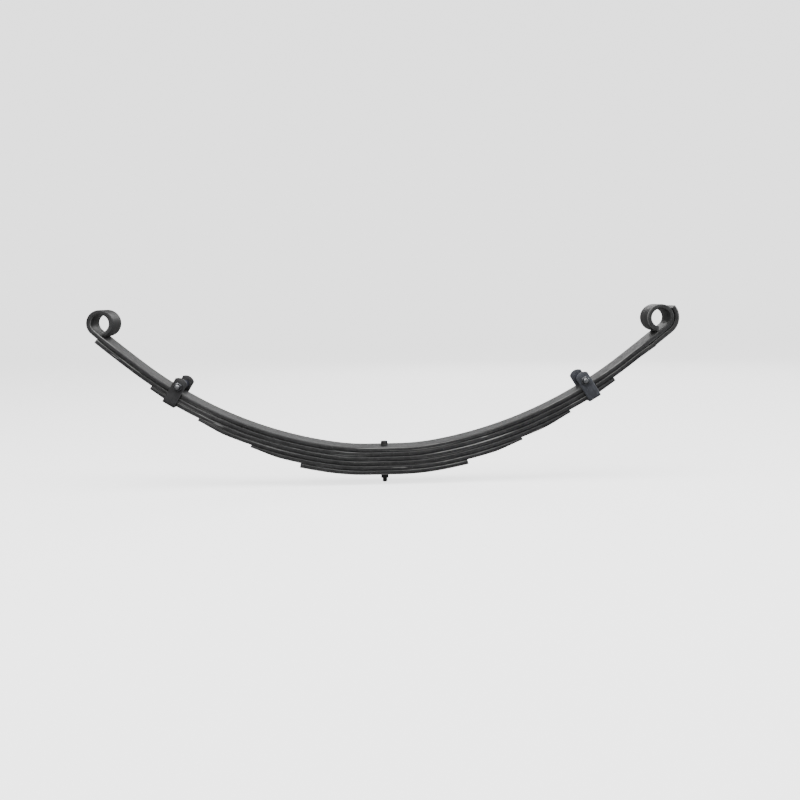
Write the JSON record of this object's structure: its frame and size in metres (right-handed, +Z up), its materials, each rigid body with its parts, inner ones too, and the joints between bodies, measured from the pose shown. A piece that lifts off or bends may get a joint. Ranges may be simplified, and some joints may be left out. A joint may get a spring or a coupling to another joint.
{
  "type": "leaf spring",
  "caption": "Semi-elliptic leaf spring pack with upturned eyes, a wrapped second leaf, bolted rebound clips and a centre bolt.",
  "frame": {"origin": "where the centre bolt's axis meets the main leaf's top face, on the axle seat", "axes": "+X along the spring toward the wrapped (shackle) eye, +Y across the leaves toward the clip bolt heads, +Z up out of the axle seat"},
  "size_m": [1.1409, 0.0949, 0.3504],
  "materials": {
    "spring_steel": "satin black paint over hot-rolled spring steel",
    "clip_steel": "satin black paint",
    "bolt_steel": "satin black paint",
    "zinc": "bright zinc plate",
    "tube": "dark blue-grey oxide",
    "nylon": "dark nylon"
  },
  "bodies": {
    "eye_leaves": {"main_leaf": "spring_steel", "second_leaf": "spring_steel"},
    "axle_seat_pack": {"third_leaf": "spring_steel", "fourth_leaf": "spring_steel", "fifth_leaf": "spring_steel", "sixth_leaf": "spring_steel", "centre_bolt": "bolt_steel", "centre_nut": "bolt_steel"},
    "left_clip_set": {"left_clip": "clip_steel", "left_clip_rivet": "clip_steel", "left_clip_bolt": "zinc", "left_clip_nut": "zinc", "left_clip_nut_ring": "nylon", "left_clip_sleeve": "tube"},
    "right_clip_set": {"right_clip": "clip_steel", "right_clip_rivet": "clip_steel", "right_clip_bolt": "zinc", "right_clip_nut": "zinc", "right_clip_nut_ring": "nylon", "right_clip_sleeve": "tube"}
  },
  "joints": [
    {"name": "axle_travel", "type": "slide", "parent": "eye_leaves", "child": "axle_seat_pack", "axis": [0, 0, 1], "range_m": [-0.02, 0.1], "stiffness_N_per_m": 78000, "deforming": ["main_leaf", "second_leaf", "third_leaf", "fourth_leaf", "fifth_leaf", "sixth_leaf"]},
    {"name": "left_clip_follow", "type": "hinge", "parent": "eye_leaves", "child": "left_clip_set", "pos_m": [-0.4733, 0, 0.1189], "axis": [0, -1, 0], "range_deg": [-2.06, 10.29]},
    {"name": "right_clip_follow", "type": "hinge", "parent": "eye_leaves", "child": "right_clip_set", "pos_m": [0.4702, 0, 0.1137], "axis": [0, 1, 0], "range_deg": [-2.17, 10.85]}
  ],
  "couplings": [
    {"joint": "left_clip_follow", "follows": "axle_travel", "rad_per_m": 1.7605},
    {"joint": "right_clip_follow", "follows": "axle_travel", "rad_per_m": 1.8573}
  ]
}
